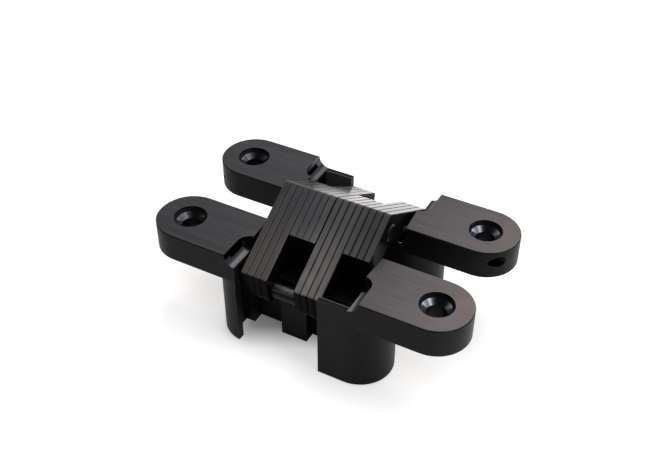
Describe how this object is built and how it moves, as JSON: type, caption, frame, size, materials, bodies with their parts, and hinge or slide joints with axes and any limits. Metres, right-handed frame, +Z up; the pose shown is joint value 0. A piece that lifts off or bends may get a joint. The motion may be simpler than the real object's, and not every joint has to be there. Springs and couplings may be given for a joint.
{
  "type": "concealed hinge",
  "caption": "Concealed door hinge with two round-ended leaves, countersunk ears and an interleaved pack of bent links that folds into deep pockets.",
  "frame": {"origin": "under the middle of the opened hinge, at the bottom faces of the two blocks", "axes": "+X along the leaves, +Y from the front leaf to the rear leaf, +Z up out of the faces with the screw heads"},
  "size_m": [0.095, 0.0534, 0.0397],
  "materials": {
    "leaf": "brushed black coating",
    "link": "brushed black coating",
    "spacer": "satin black",
    "pin": "ground steel"
  },
  "bodies": {
    "front_leaf": {"front_leaf": "leaf", "front_pivot_pin": "pin"},
    "front_link_set": {"front_link_1": "link", "front_link_2": "link", "front_link_3": "link", "front_link_4": "link", "front_link_5": "link", "front_link_6": "link", "front_link_7": "link", "front_link_8": "link", "centre_pin": "pin", "rear_slide_pin": "pin", "rear_spacer": "spacer"},
    "rear_link_set": {"rear_link_1": "link", "rear_link_2": "link", "rear_link_3": "link", "rear_link_4": "link", "rear_link_5": "link", "rear_link_6": "link", "rear_link_7": "link", "rear_link_8": "link", "front_slide_pin": "pin", "front_spacer": "spacer"},
    "rear_leaf": {"rear_leaf": "leaf", "rear_pivot_pin": "pin"}
  },
  "joints": [
    {"name": "front_pivot", "type": "hinge", "parent": "front_leaf", "child": "front_link_set", "pos_m": [0, -0.00975, 0.0273], "axis": [1, 0, 0], "range_deg": [0, 125.5]},
    {"name": "centre_pivot", "type": "hinge", "parent": "front_link_set", "child": "rear_link_set", "pos_m": [0, 0, 0.0337], "axis": [1, 0, 0], "range_deg": [-71.1, 0]},
    {"name": "rear_pivot", "type": "hinge", "parent": "rear_link_set", "child": "rear_leaf", "pos_m": [0, 0.00975, 0.0273], "axis": [1, 0, 0], "range_deg": [0, 125.5]}
  ],
  "couplings": [
    {"joint": "centre_pivot", "follows": "front_pivot", "ratio": -0.56574},
    {"joint": "rear_pivot", "follows": "front_pivot", "ratio": 1}
  ]
}
